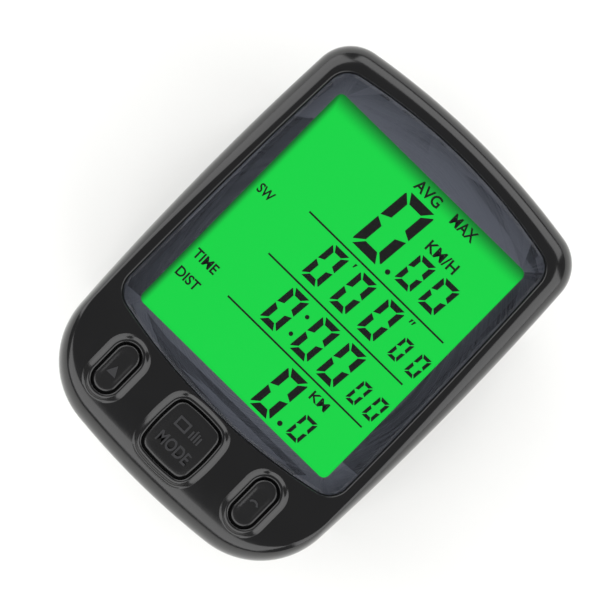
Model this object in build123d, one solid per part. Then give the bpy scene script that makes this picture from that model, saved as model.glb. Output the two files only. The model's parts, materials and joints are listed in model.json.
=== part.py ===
from build123d import *
import math
import os

# Cycling computer: a three-key display head that slides onto a handlebar bracket.
#
# Frame: the origin is on the plane that the bracket's saddle feet stand on, under the middle of the
# head. +Z points out of the display, +Y to the top of the display, +X to its right. Millimetres.

os.makedirs("parts", exist_ok=True)

# --- Handlebar saddle -------------------------------------------------------------------------
bar_radius = 15.9            # 31.8 mm handlebar or stem
saddle_half_angle = 75.0     # degrees of bar wrapped on each side of the crown
pad_thickness = 1.2
saddle_wall = 2.0
saddle_length = 42.0
tie_groove_width = 2.7       # for a 2.5 mm cable tie
tie_groove_depth = 0.6
tie_groove_end_wall = 0.6

# --- Slide rails and plate --------------------------------------------------------------------
plate_cover = 0.56           # plate top above the saddle's crown
plate_thickness = 2.4
rail_front_y = 16.5
rail_back_y = -16.3
rail_wall = 2.0
lip_thickness = 1.2
lip_overlap = 1.1            # how far the lip reaches over the foot's flange
rail_lead_in = 0.8
end_stop_thickness = 1.4
end_stop_top_gap = 0.3       # stop's top below the foot's flange top
end_stop_inner_x = 6.0
plate_corner_radius = 1.6
rib_thickness = 1.6
rib_x = 9.0
rib_depth = 6.0
slide_gap = 0.2              # vertical running gap of the foot in the rails
side_gap = 0.3               # sideways running gap of the foot in the rails
case_clearance = 0.4         # rail tops to the underside of the case

# --- Release lever ----------------------------------------------------------------------------
lever_width = 8.0
lever_thickness = 1.2
lever_gap = 0.3
lever_pivot_y = -6.0
lever_pivot_depth = 1.2      # pivot axis below the plate's top
lever_pin_radius = 0.6
lever_pin_length = 1.3
lever_pin_clearance = 0.05
lever_nose = 1.6             # lever in front of its pivot
lever_tooth_y = -13.0
lever_tooth_length = 1.8
lever_tooth_width = 4.8
lever_tooth_rise = 0.15      # tooth tip above the plate's top
lever_reach = 15.4           # pivot to the back of the finger pad
lever_press_angle = 3.0
lever_pad_length = 3.4
lever_pad_rise = 1.1
lever_grip_radius = 0.3
lever_grips = 3
spring_strip = 0.2
spring_width = 4.4
spring_half_length = 2.8
spring_y = -10.8
spring_seat_depth = 1.3      # spring seat below the lever

# --- Lead inlet and bracket contacts ----------------------------------------------------------
lead_radius = 1.1
lead_bore_length = 4.0
lead_boss_width = 6.4
lead_boss_length = 6.0
lead_boss_height = 4.6
contact_x = 9.0
contact_y = -12.8
contact_radius = 1.8
contact_rise = 0.1           # dome of the bracket's contact above the plate
contact_stem_radius = 0.8
contact_disc_thickness = 0.6

# --- Head outline, seen from above ------------------------------------------------------------
head_width = 44.3
head_length = 62.0
head_widest_y = 3.0
head_side_bow = 400.0
head_end_bow = 105.0
head_top_corner = 5.5
head_bottom_corner = 11.3

# --- Case heights and walls -------------------------------------------------------------------
foot_half_width = 15.1
foot_flange = 1.4
foot_back_y = -16.0
foot_front_y = 16.5
foot_corner_radius = 1.2
rear_case_height = 5.6
head_thickness = 14.0        # case underside to the flat top
roll_start = 1.5             # the panel starts to roll down this far above the window's lower end
roll_radius = 38.0
case_wall = 1.6
top_bevel = 1.9
bottom_bevel = 1.6

# --- Window and display stack -----------------------------------------------------------------
window_side_border = 2.75    # case rim beside the window
window_top_border = 3.2
window_bottom_border = 13.5  # the key panel
window_end_bow = 80.0
window_side_bow = 720.0
window_widest_y = -11.0
window_corner = 3.0
window_thickness = 2.4       # below the case's flat top; the back is flat
window_gap = 0.15
window_arch = 0.5            # how far the lens rises above the case's top
window_arch_radius = 520.0
seat_width = 1.0             # land that carries the window
seat_thickness = 1.0
seat_surround = 1.2
mask_thickness = 0.25
mask_side_border = 2.7       # masked edge of the window beside the display
mask_top_border = 4.7
mask_bottom_border = 3.45
opening_corner = 0.9
lcd_margin_x = 0.8
lcd_margin_y = 1.1
lcd_thickness = 2.4
lcd_glass_step = 0.6         # lower glass showing past the upper one at the contact edges
lcd_gap = 0.15
frame_wall = 0.9
strip_width = 1.8
strip_inset = 0.2
frame_rib = 0.4
part_gap = 0.1
guide_thickness = 2.0
guide_lift = 0.3
led_length = 3.0
led_depth = 1.1
led_height = 1.4
led_spread = 9.0
diffuser_thickness = 0.3

# --- Board ------------------------------------------------------------------------------------
board_thickness = 1.0
board_gap = 0.5
chip_half_size = 3.4
chip_height = 1.2
chip_setback = 16.0          # chip's middle from the case's lower end
crystal_radius = 1.0
crystal_length = 6.0
crystal_setback = 6.95       # crystal's middle from the case's side
crystal_y = 8.0
resistor_length = 1.6
resistor_width = 0.9
resistor_height = 0.6
resistor_count = 5
resistor_setback = 7.15      # resistors' middles from the case's side
resistor_pitch = 2.6
resistor_y = 1.0

# --- Battery, its cover and contacts ----------------------------------------------------------
battery_radius = 10.0        # CR2032
battery_thickness = 3.2
battery_y = 2.6
battery_bevel = 0.3
well_gap = 0.3
well_roof = 1.5              # carries the board
well_wall = 1.2
cover_radius = 11.8
cover_gap = 0.2
cover_recess = 0.05
cover_thickness = 1.9
cover_lugs = 3
cover_lug_angle = 22.0
cover_lug_reach = 0.9
cover_lug_height = 0.7
cover_lug_gap = 0.1
cover_turn = 60.0            # degrees from locked to free
coin_slot_length = 13.0
coin_slot_width = 1.8
coin_slot_depth = 0.9
cover_seal_width = 1.1
cover_seal_thickness = 0.6
contact_strip = 0.2
contact_gap = 0.05
positive_span = 50.0
tab_span = 14.0
tab_slot_span = 18.0
negative_width = 3.0
negative_half_length = 6.5

# --- Screws and seals -------------------------------------------------------------------------
screw_head_radius = 1.55
screw_head_height = 1.0
screw_shank_radius = 0.85
screw_length = 8.0
screw_recess = 0.2
screw_side_setback = 8.65    # upper screws from the case's side
screw_top_setback = 3.8
screw_bottom_setback = 4.1
screw_boss_radius = 1.9
screw_clearance = 0.15
screw_pilot_radius = 0.75
case_seal_width = 0.6
case_seal_height = 0.6
latch_notch_depth = 0.8

# --- Keys -------------------------------------------------------------------------------------
mode_key_setback = 7.9       # key's middle from the case's lower end
mode_key_width = 7.9
mode_key_length = 8.4
mode_key_bow = 22.0
mode_key_corner = 1.5
side_key_side_setback = 9.8
side_key_setback = 8.6
side_key_width = 3.6
side_key_length = 7.3
key_gap = 0.2
key_proud = 0.3
key_edge = 0.3
key_flange = 0.8
key_flange_thickness = 1.0
key_guide_depth = 4.9        # guide's lower end below the case's top
key_top_gap = 0.2            # flange to guide, at rest
key_travel = 0.6
collar_width = 0.85
collar_rise = 0.45
collar_edge = 0.25
boot_gap = 0.1
boot_base_radius = 2.7
boot_wall = 0.5
boot_plunger_radius = 1.2
dome_radius = 1.8
dome_height = 0.35

# --- Levels that follow from the sizes above --------------------------------------------------
bar_axis_z = -bar_radius * math.cos(math.radians(saddle_half_angle))
saddle_radius = bar_radius + pad_thickness + saddle_wall
plate_top = bar_axis_z + saddle_radius + plate_cover
plate_bottom = plate_top - plate_thickness
foot_bottom = plate_top + slide_gap
flange_top = foot_bottom + foot_flange
lip_bottom = flange_top + slide_gap
stop_top = flange_top - end_stop_top_gap
plate_back_y = rail_back_y - end_stop_thickness
rail_top = lip_bottom + lip_thickness
rail_inner_x = foot_half_width + side_gap
rail_outer_x = rail_inner_x + rail_wall
lip_inner_x = foot_half_width - lip_overlap
neck_half_width = lip_inner_x - side_gap
case_bottom = rail_top + case_clearance
floor_top = case_bottom + case_wall
parting_z = case_bottom + rear_case_height
cover_bottom = foot_bottom + cover_recess
cover_top = cover_bottom + cover_thickness
seal_top = cover_top + cover_seal_thickness
battery_bottom = cover_top + contact_gap
battery_top = battery_bottom + battery_thickness
well_top = battery_top + contact_strip + contact_gap
board_bottom = well_top + well_roof
crown_z = case_bottom + head_thickness
board_top = board_bottom + board_thickness
window_back = crown_z - window_thickness
mask_back = window_back - mask_thickness
seat_bottom = mask_back - seat_thickness
lcd_top = seat_bottom - lcd_gap
lcd_bottom = lcd_top - lcd_thickness
guide_bottom = board_top + guide_lift
guide_top = guide_bottom + guide_thickness
guide_end_z = crown_z - key_guide_depth
key_flange_top = guide_end_z - key_top_gap
key_bottom = key_flange_top - key_flange_thickness
boot_top = key_bottom - boot_gap
screw_seat_z = case_bottom + screw_recess + screw_head_height
screw_tip_z = screw_seat_z + screw_length
window_half_width = head_width / 2 - window_side_border
window_top_y = head_length / 2 - window_top_border
window_bottom_y = window_bottom_border - head_length / 2
roll_start_y = window_bottom_y + roll_start
opening_half_width = window_half_width - mask_side_border
opening_top_y = window_top_y - mask_top_border
opening_bottom_y = window_bottom_y + mask_bottom_border
lcd_half_width = opening_half_width + lcd_margin_x
lcd_top_y = opening_top_y + lcd_margin_y
lcd_bottom_y = opening_bottom_y - lcd_margin_y
mode_key_y = mode_key_setback - head_length / 2
side_key_x = head_width / 2 - side_key_side_setback
side_key_y = side_key_setback - head_length / 2
screw_top_x = head_width / 2 - screw_side_setback
screw_top_y = head_length / 2 - screw_top_setback
screw_bottom_x = (mode_key_width / 2 + side_key_x - side_key_width / 2) / 2
screw_bottom_y = screw_bottom_setback - head_length / 2
chip_y = chip_setback - head_length / 2
crystal_x = crystal_setback - head_width / 2
resistor_x = head_width / 2 - resistor_setback
pivot_z = plate_top - lever_pivot_depth
lever_top = pivot_z + lever_thickness / 2
lever_bottom = pivot_z - lever_thickness / 2
spring_seat_z = lever_bottom - spring_seat_depth
spring_seat_span = (spring_y - spring_half_length - part_gap, spring_y + spring_half_length + part_gap)
screw_places = [
    (side * x, y)
    for x, y in ((screw_top_x, screw_top_y), (screw_bottom_x, screw_bottom_y))
    for side in (-1, 1)
]


# --- Shared shapes ----------------------------------------------------------------------------
def bowed_outline(half_width, top_y, bottom_y, side_bow, end_bow, widest_y, top_corner, bottom_corner,
                  grow=0.0):
    """A four-sided outline with bowed sides and round corners, grown by an even margin."""
    top = Pos(0, top_y - end_bow) * Circle(end_bow + grow)
    bottom = Pos(0, bottom_y + end_bow) * Circle(end_bow + grow)
    right = Pos(half_width - side_bow, widest_y) * Circle(side_bow + grow)
    left = Pos(side_bow - half_width, widest_y) * Circle(side_bow + grow)
    outline = top & bottom & right & left
    corners = outline.vertices().sort_by(Axis.Y)
    outline = fillet(corners[2:], top_corner + grow)
    return fillet(outline.vertices().sort_by(Axis.Y)[:2], bottom_corner + grow)


def head_outline(grow=0.0):
    return bowed_outline(head_width / 2, head_length / 2, -head_length / 2, head_side_bow, head_end_bow,
                         head_widest_y, head_top_corner, head_bottom_corner, grow)


def window_outline(grow=0.0):
    return bowed_outline(window_half_width, window_top_y, window_bottom_y, window_side_bow,
                         window_end_bow, window_widest_y, window_corner, window_corner, grow)


def mode_key_outline(grow=0.0):
    outline = bowed_outline(mode_key_width / 2, mode_key_length / 2, -mode_key_length / 2, mode_key_bow,
                            mode_key_bow, 0, mode_key_corner, mode_key_corner, grow)
    return Pos(0, mode_key_y) * outline


def side_key_outline(side, grow=0.0):
    slot = SlotOverall(side_key_length + 2 * grow, side_key_width + 2 * grow, rotation=90)
    return Pos(side * side_key_x, side_key_y) * slot


def column(outline, low_z, high_z):
    return extrude(Pos(0, 0, low_z) * outline, high_z - low_z)


def block(x_span, y_span, z_span):
    (x0, x1), (y0, y1), (z0, z1) = x_span, y_span, z_span
    size = Box(x1 - x0, y1 - y0, z1 - z0)
    return Pos((x0 + x1) / 2, (y0 + y1) / 2, (z0 + z1) / 2) * size


def rod(radius, x, y, low_z, high_z):
    return Pos(x, y, (low_z + high_z) / 2) * Cylinder(radius, high_z - low_z)


def rod_along_x(radius, y, z, x0, x1):
    return Pos((x0 + x1) / 2, y, z) * Rot(0, 90, 0) * Cylinder(radius, x1 - x0)


def ring_sector(inner, outer, mid_angle, span, low_z, high_z):
    """Part of an upright ring about the battery's axis."""
    ring = Circle(outer) - Circle(inner)
    reach = 2 * outer
    spread = math.radians(span / 2)
    wedge = Polygon((0, 0), (reach * math.cos(spread), -reach * math.sin(spread)),
                    (reach, 0), (reach * math.cos(spread), reach * math.sin(spread)), align=None)
    return column(Pos(0, battery_y) * Rot(0, 0, mid_angle) * (ring & wedge), low_z, high_z)


def crown(lift=0.0):
    """Everything below the head's top, which is level and then rolls down past the keys."""
    reach = 60.0
    level = block((-reach, reach), (roll_start_y, reach), (plate_bottom, crown_z + lift))
    rolled = rod_along_x(roll_radius + lift, roll_start_y, crown_z - roll_radius, -reach, reach)
    rolled &= block((-reach, reach), (-reach, roll_start_y), (plate_bottom, crown_z + lift))
    return level + rolled


def top_rim(solid):
    """The edges between a solid's top and its sides."""
    tops = solid.faces().filter_by(lambda face: face.normal_at().Z > 0.75)
    edges = [edge for face in tops for edge in face.edges()]
    return [edge for edge in edges if edges.count(edge) == 1]


def bevelled_top(solid, size):
    return chamfer(top_rim(solid), size)


# --- Head: case -------------------------------------------------------------------------------
def key_outlines():
    return [
        mode_key_outline,
        lambda grow: side_key_outline(-1, grow),
        lambda grow: side_key_outline(1, grow),
    ]


def largest_face_at(solid, height):
    level = solid.faces().filter_by(lambda face: abs(face.center().Z - height) < 1e-4)
    return level.filter_by(GeomType.PLANE).sort_by(SortBy.AREA)[-1]


def front_case():
    inner = column(head_outline(-case_wall), parting_z, crown_z) & crown(-case_wall)
    outer = bevelled_top(column(head_outline(), parting_z, crown_z + 1) & crown(), top_bevel)
    case = outer - inner
    case += column(window_outline(seat_surround), seat_bottom, crown_z) & outer
    for outline in key_outlines():
        tube = column(outline(key_gap + collar_width), guide_end_z, crown_z + 1) & crown(collar_rise)
        case += bevelled_top(tube, collar_edge)
    for x, y in screw_places:
        case += rod(screw_boss_radius, x, y, parting_z, crown_z) & inner
        case -= rod(screw_pilot_radius, x, y, parting_z, screw_tip_z)
    case -= column(window_outline(window_gap), mask_back, crown_z + 1)
    case -= column(window_outline(-seat_width), parting_z, crown_z + 1)
    for outline in key_outlines():
        case -= column(outline(key_gap), parting_z, crown_z + 1)
    return case


def case_seal():
    """The gasket, in a rebate round the inside of the rear case's rim."""
    outline = head_outline(case_seal_width - case_wall) - head_outline(-case_wall)
    return column(outline, parting_z - case_seal_height, parting_z)


def foot():
    middle_y = (foot_front_y + foot_back_y) / 2
    length = foot_front_y - foot_back_y
    flange = RectangleRounded(2 * foot_half_width, length, foot_corner_radius)
    neck = RectangleRounded(2 * neck_half_width, length, foot_corner_radius)
    solid = column(Pos(0, middle_y) * flange, foot_bottom, flange_top)
    return solid + column(Pos(0, middle_y) * neck, flange_top, case_bottom + case_wall / 2)


def battery_well():
    """The space for the cell, its cover and the cover's lugs, with the lugs' way in."""
    top = cover_top + cover_lug_gap
    bottom = cover_top - cover_lug_height - cover_lug_gap
    reach = cover_radius + cover_lug_reach + cover_gap
    space = rod(battery_radius + well_gap, 0, battery_y, foot_bottom - 1, well_top)
    space += rod(cover_radius + cover_gap, 0, battery_y, foot_bottom - 1, seal_top)
    space += rod(reach, 0, battery_y, bottom, top)
    for index in range(cover_lugs):
        angle = lug_angle(index) - cover_turn
        space += ring_sector(battery_radius, reach, angle, cover_lug_angle + 4, foot_bottom - 1, top)
    return space


def lug_angle(index):
    return 90 + index * 360 / cover_lugs


def latch_notch():
    """The pocket in the foot above the latch tooth."""
    half_width = lever_tooth_width / 2 + lever_gap
    reach = lever_tooth_length / 2 + lever_gap
    return block((-half_width, half_width), (lever_tooth_y - reach, lever_tooth_y + reach),
                 (foot_bottom - 1, foot_bottom + latch_notch_depth))


def rear_case():
    outer = column(head_outline(), case_bottom, parting_z)
    outer = chamfer(largest_face_at(outer, case_bottom).outer_wire().edges(), bottom_bevel)
    inner = column(head_outline(-case_wall), floor_top, parting_z)
    case = outer - inner + foot()
    case += rod(battery_radius + well_gap + well_wall, 0, battery_y, case_bottom, board_bottom)
    for x, y in screw_places:
        case += rod(screw_boss_radius, x, y, floor_top - case_wall / 2, parting_z)
        case -= rod(screw_head_radius + screw_clearance, x, y, case_bottom - 1, screw_seat_z)
        case -= rod(screw_shank_radius + screw_clearance, x, y, case_bottom, parting_z)
    case -= battery_well()
    case -= positive_contact_slot() + negative_contact_slot()
    case -= latch_notch() + head_contacts()
    case -= case_seal()
    return case


def case_screws():
    screws = []
    for x, y in screw_places:
        head = rod(screw_head_radius, x, y, case_bottom + screw_recess, screw_seat_z)
        screws.append(head + rod(screw_shank_radius, x, y, screw_seat_z, screw_tip_z))
    return Compound(screws)


# --- Head: window and display -----------------------------------------------------------------
def window_lens():
    """The clear window, arched across its width over a flat back."""
    lens = column(window_outline(), window_back, crown_z + 1)
    axis_z = crown_z + window_arch - window_arch_radius
    return lens & Pos(0, 0, axis_z) * Rot(90, 0, 0) * Cylinder(window_arch_radius, 2 * head_length)


def display_opening(grow, low_z, high_z):
    height = opening_top_y - opening_bottom_y
    outline = RectangleRounded(2 * (opening_half_width + grow), height + 2 * grow, opening_corner)
    return column(Pos(0, (opening_top_y + opening_bottom_y) / 2) * outline, low_z, high_z)


def window_mask():
    mask = column(window_outline(), mask_back, window_back)
    return mask - display_opening(0, mask_back, window_back)


def lcd_panel():
    middle = (lcd_top + lcd_bottom) / 2
    x_span = (-lcd_half_width, lcd_half_width)
    lower = block(x_span, (lcd_bottom_y, lcd_top_y), (lcd_bottom, middle))
    upper = block(x_span, (lcd_bottom_y + lcd_glass_step, lcd_top_y - lcd_glass_step), (middle, lcd_top))
    return lower + upper


frame_inner_x = lcd_half_width - frame_wall / 2
strip_half_length = frame_inner_x - part_gap
strip_top_y = (lcd_top_y - strip_inset - strip_width, lcd_top_y - strip_inset)
strip_bottom_y = (lcd_bottom_y + strip_inset, lcd_bottom_y + strip_inset + strip_width)
guide_y = (strip_bottom_y[1] + frame_rib + 2 * part_gap, strip_top_y[0] - frame_rib - 2 * part_gap)
guide_half_width = frame_inner_x - led_depth - 2 * part_gap


def widened(span, margin):
    return (span[0] - margin, span[1] + margin)


def lcd_frame():
    """The carrier that stands on the board and holds the glass, light guide and contact strips."""
    glass_x = (-lcd_half_width, lcd_half_width)
    glass_y = (lcd_bottom_y, lcd_top_y)
    inner_x = (-frame_inner_x, frame_inner_x)
    below = board_top - 1
    margin = part_gap + frame_wall
    frame = block(widened(glass_x, margin), widened(glass_y, margin), (board_top, lcd_top))
    frame = fillet(frame.edges().filter_by(Axis.Z), frame_wall)
    frame -= block(widened(glass_x, part_gap), widened(glass_y, part_gap), (lcd_bottom, lcd_top + 1))
    for span in (guide_y, strip_top_y, strip_bottom_y):
        frame -= block(inner_x, widened(span, part_gap), (below, lcd_top))
    return frame


def zebra_strips():
    x_span = (-strip_half_length, strip_half_length)
    return Compound([block(x_span, y_span, (board_top, lcd_bottom))
                     for y_span in (strip_top_y, strip_bottom_y)])


def backlight_guide():
    guide = block((-guide_half_width, guide_half_width), guide_y, (guide_bottom, guide_top))
    return chamfer(guide.faces().sort_by(Axis.Z)[0].edges(), guide_lift)


def diffuser_sheet():
    half_width = frame_inner_x - part_gap
    return block((-half_width, half_width), guide_y,
                 (guide_top + part_gap, guide_top + part_gap + diffuser_thickness))


def backlight_leds():
    middle = (guide_y[0] + guide_y[1]) / 2
    outer_x = frame_inner_x - part_gap
    leds = []
    for y in (middle - led_spread, middle + led_spread):
        y_span = (y - led_length / 2, y + led_length / 2)
        for x_span in ((-outer_x, led_depth - outer_x), (outer_x - led_depth, outer_x)):
            leds.append(block(x_span, y_span, (board_top, board_top + led_height)))
    return Compound(leds)


# --- Head: board ------------------------------------------------------------------------------
def main_board():
    board = column(head_outline(-case_wall - board_gap), board_bottom, board_top)
    for x, y in screw_places:
        board -= rod(screw_boss_radius + board_gap, x, y, board_bottom - 1, board_top + 1)
    return board


def driver_chip():
    size = 2 * chip_half_size
    chip = column(Pos(0, chip_y) * Rectangle(size, size), board_bottom - chip_height, board_bottom)
    return chamfer(chip.faces().sort_by(Axis.Z)[0].edges(), chip_height / 4)


def quartz_crystal():
    middle_z = board_bottom - crystal_radius
    return Pos(crystal_x, crystal_y, middle_z) * Rot(90, 0, 0) * Cylinder(crystal_radius, crystal_length)


def board_components():
    pieces = []
    for index in range(resistor_count):
        y = resistor_y + (index - (resistor_count - 1) / 2) * resistor_pitch
        x_span = (resistor_x - resistor_length / 2, resistor_x + resistor_length / 2)
        y_span = (y - resistor_width / 2, y + resistor_width / 2)
        pieces.append(block(x_span, y_span, (board_bottom - resistor_height, board_bottom)))
    return Compound(pieces)


def key_middles():
    return {"mode": (0, mode_key_y), "left": (-side_key_x, side_key_y), "right": (side_key_x, side_key_y)}


def dome_switches():
    """Metal snap domes, as the low cones that they measure as."""
    cone = Cone(dome_radius, dome_radius * 0.4, dome_height)
    middle_z = board_top + dome_height / 2
    return Compound([Pos(x, y, middle_z) * cone for x, y in key_middles().values()])


# --- Head: battery and contacts ---------------------------------------------------------------
def battery():
    cell = rod(battery_radius, 0, battery_y, battery_bottom, battery_top)
    return chamfer(cell.edges().sort_by(Axis.Z)[0], battery_bevel)


def positive_arc(span, low_z, high_z, margin=0.0):
    inner = battery_radius + contact_gap - margin
    return ring_sector(inner, inner + contact_strip + 2 * margin, 0, span, low_z, high_z)


def battery_contact_positive():
    blade = positive_arc(positive_span, battery_bottom + battery_bevel, battery_top)
    return blade + positive_arc(tab_span, battery_top, board_bottom)


def positive_contact_slot():
    return positive_arc(tab_slot_span, well_top - contact_gap, board_bottom, contact_gap)


def negative_tab(margin):
    half_width = negative_width / 2 + margin
    y = battery_y + negative_half_length
    return ((-half_width, half_width), (y - contact_strip - margin, y + margin))


def battery_contact_negative():
    x_span, tab_y = negative_tab(0)
    low_z = battery_top + contact_gap
    y_span = (battery_y - negative_half_length, battery_y + negative_half_length)
    leaf = block(x_span, y_span, (low_z, low_z + contact_strip))
    return leaf + block(x_span, tab_y, (low_z, board_bottom))


def negative_contact_slot():
    x_span, y_span = negative_tab(contact_gap)
    return block(x_span, y_span, (well_top - contact_gap, board_bottom))


def battery_cover():
    cover = rod(cover_radius, 0, battery_y, cover_bottom, cover_top)
    for index in range(cover_lugs):
        lug = ring_sector(battery_radius, cover_radius + cover_lug_reach, lug_angle(index),
                          cover_lug_angle, cover_top - cover_lug_height, cover_top)
        cover += lug
    slot = SlotOverall(coin_slot_length, coin_slot_width)
    cover -= column(Pos(0, battery_y) * slot, cover_bottom - 1, cover_bottom + coin_slot_depth)
    rim = largest_face_at(cover, cover_bottom).outer_wire()
    return chamfer(rim.edges(), cover_gap)


def cover_seal():
    inner = battery_radius + well_gap
    ring = Circle(inner + cover_seal_width) - Circle(inner)
    return column(Pos(0, battery_y) * ring, cover_top, seal_top)


def head_contacts():
    contacts = []
    for x in (-contact_x, contact_x):
        disc = rod(contact_radius, x, contact_y, foot_bottom, foot_bottom + contact_disc_thickness)
        stem = rod(contact_stem_radius, x, contact_y, foot_bottom, board_bottom)
        contacts.append(disc + stem)
    return Compound(contacts)


# --- Head: keys -------------------------------------------------------------------------------
def key(outline):
    cap = column(outline(0), key_bottom, crown_z + 1) & crown(key_proud)
    cap = bevelled_top(cap, key_edge)
    return cap + column(outline(key_flange), key_bottom, key_flange_top)


def key_boot(middle):
    """A hollow silicone dome that lifts its key and keeps water off the switch below it."""
    height = boot_top - board_top
    inner_top = height - key_travel - 2 * boot_wall
    outline = Polyline(
        (0, height), (boot_plunger_radius, height), (boot_base_radius, 0), (boot_base_radius - boot_wall, 0),
        (boot_plunger_radius - boot_wall, inner_top), (0, inner_top), (0, height))
    boot = revolve(Plane.XZ * Face(Wire(outline.edges())), Axis.Z)
    return Pos(*middle, board_top) * boot


# --- Bracket ----------------------------------------------------------------------------------
def saddle_sector(inner, outer, half_length):
    """Part of a tube round the bar's axis, cut off level at the ground plane."""
    ring = rod_along_x(outer, 0, bar_axis_z, -half_length, half_length)
    ring -= rod_along_x(inner, 0, bar_axis_z, -half_length, half_length)
    return ring & block((-half_length, half_length), (-outer, outer), (0, outer))


def bar_space(radius):
    return rod_along_x(radius, 0, bar_axis_z, -saddle_length, saddle_length)


def plate_form(low_z, high_z):
    """The bracket's outline as seen from above, round at its corners."""
    length = rail_front_y - plate_back_y
    outline = RectangleRounded(2 * rail_outer_x, length, plate_corner_radius)
    return column(Pos(0, (rail_front_y + plate_back_y) / 2) * outline, low_z, high_z)


def lead_in():
    """The flared mouth between the two lips."""
    start_y = rail_front_y - rail_lead_in
    reach = rail_lead_in + 1
    half_width = lip_inner_x + reach
    mouth = Polygon((-lip_inner_x, start_y), (lip_inner_x, start_y), (half_width, start_y + reach),
                    (-half_width, start_y + reach), align=None)
    return column(mouth, lip_bottom, rail_top + 1)


def slide_rails():
    """The two lipped rails, left by the foot's way through one block."""
    rails = plate_form(plate_top, rail_top)
    rails = chamfer(largest_face_at(rails, rail_top).outer_wire().edges(), lip_thickness / 3)
    through = (plate_back_y - 1, rail_front_y + 1)
    rails -= block((-rail_inner_x, rail_inner_x), through, (plate_top, lip_bottom))
    rails -= block((-lip_inner_x, lip_inner_x), through, (plate_top, rail_top + 1))
    return rails - lead_in()


def end_stops():
    stop = block((end_stop_inner_x, rail_inner_x), (plate_back_y, rail_back_y), (plate_top, stop_top))
    stop = chamfer(stop.edges().filter_by(Axis.X).group_by(Axis.Z)[-1].sort_by(Axis.Y)[0], lip_thickness / 3)
    return stop + mirror(stop, Plane.YZ)


def rib(x):
    """A web between the saddle and the plate."""
    back_y = plate_back_y + plate_corner_radius
    front_y = rail_front_y - plate_corner_radius
    low_z = plate_bottom - rib_depth
    outline = Polygon((back_y, plate_bottom), (front_y, plate_bottom), (front_y - 1, low_z),
                      (back_y + 1, low_z), align=None)
    web = Plane(origin=(x - rib_thickness / 2, 0, 0), x_dir=(0, 1, 0), z_dir=(1, 0, 0)) * outline
    return extrude(web, rib_thickness, dir=(1, 0, 0))


def tie_groove(side):
    outer_x = saddle_length / 2 - tie_groove_end_wall
    band = rod_along_x(saddle_radius + 1, 0, bar_axis_z, outer_x - tie_groove_width, outer_x)
    band -= rod_along_x(saddle_radius - tie_groove_depth, 0, bar_axis_z, outer_x - tie_groove_width, outer_x)
    return band if side > 0 else mirror(band, Plane.YZ)


def lever_slot():
    """The lever's way through the plate, with room below it for the pressed lever."""
    half_width = lever_width / 2 + lever_gap
    front = lever_pivot_y + lever_nose + lever_gap
    back = plate_back_y - 1
    floor_z = lever_bottom - lever_gap
    drop = (lever_pivot_y - back) * math.tan(math.radians(lever_press_angle))
    outline = Polygon((front, plate_top + 1), (back, plate_top + 1), (back, floor_z - drop),
                      (lever_pivot_y, floor_z), (front, floor_z), align=None)
    upright = Plane(origin=(-half_width, 0, 0), x_dir=(0, 1, 0), z_dir=(1, 0, 0))
    slot = extrude(upright * outline, 2 * half_width, dir=(1, 0, 0))
    return slot + block((-half_width, half_width), spring_seat_span, (spring_seat_z, plate_top))


def spring_seat():
    """The flat shelf on the saddle that the lever's spring stands on."""
    half_width = lever_width / 2 + lever_gap
    return block((-half_width, half_width), spring_seat_span, (0, spring_seat_z))


def lead_boss():
    y_span = (rail_front_y - lead_boss_length, rail_front_y)
    half_width = lead_boss_width / 2
    boss = block((-half_width, half_width), y_span, (plate_bottom - lead_boss_height, plate_bottom))
    return fillet(boss.edges().filter_by(Axis.Y).group_by(Axis.Z)[0], lead_radius)


def lead_bore():
    z = plate_bottom - lead_boss_height / 2
    middle = rail_front_y - lead_bore_length / 2
    return Pos(0, middle, z) * Rot(90, 0, 0) * Cylinder(lead_radius, lead_bore_length)


def bracket_base():
    rib_places = [-rail_outer_x + rib_thickness / 2, -rib_x, rib_x, rail_outer_x - rib_thickness / 2]
    base = plate_form(plate_bottom, plate_top) + spring_seat() + lead_boss()
    for x in rib_places:
        base += rib(x)
    base += saddle_sector(bar_radius + pad_thickness, saddle_radius, saddle_length / 2)
    base -= bar_space(bar_radius + pad_thickness)
    base -= tie_groove(-1) + tie_groove(1)
    base -= lever_slot()
    pin_reach = lever_width / 2 + lever_pin_length + lever_gap
    base -= rod_along_x(lever_pin_radius + lever_pin_clearance, lever_pivot_y, pivot_z, -pin_reach, pin_reach)
    base -= lead_bore()
    return base - bracket_contacts()


def bracket_pad():
    return saddle_sector(bar_radius, bar_radius + pad_thickness, saddle_length / 2)


def bracket_contacts():
    contacts = []
    for x in (-contact_x, contact_x):
        disc = rod(contact_radius, x, contact_y, plate_top - contact_disc_thickness, plate_top + contact_rise)
        stem = rod(contact_stem_radius, x, contact_y, plate_bottom, plate_top)
        contacts.append(disc + stem)
    return Compound(contacts)


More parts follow.
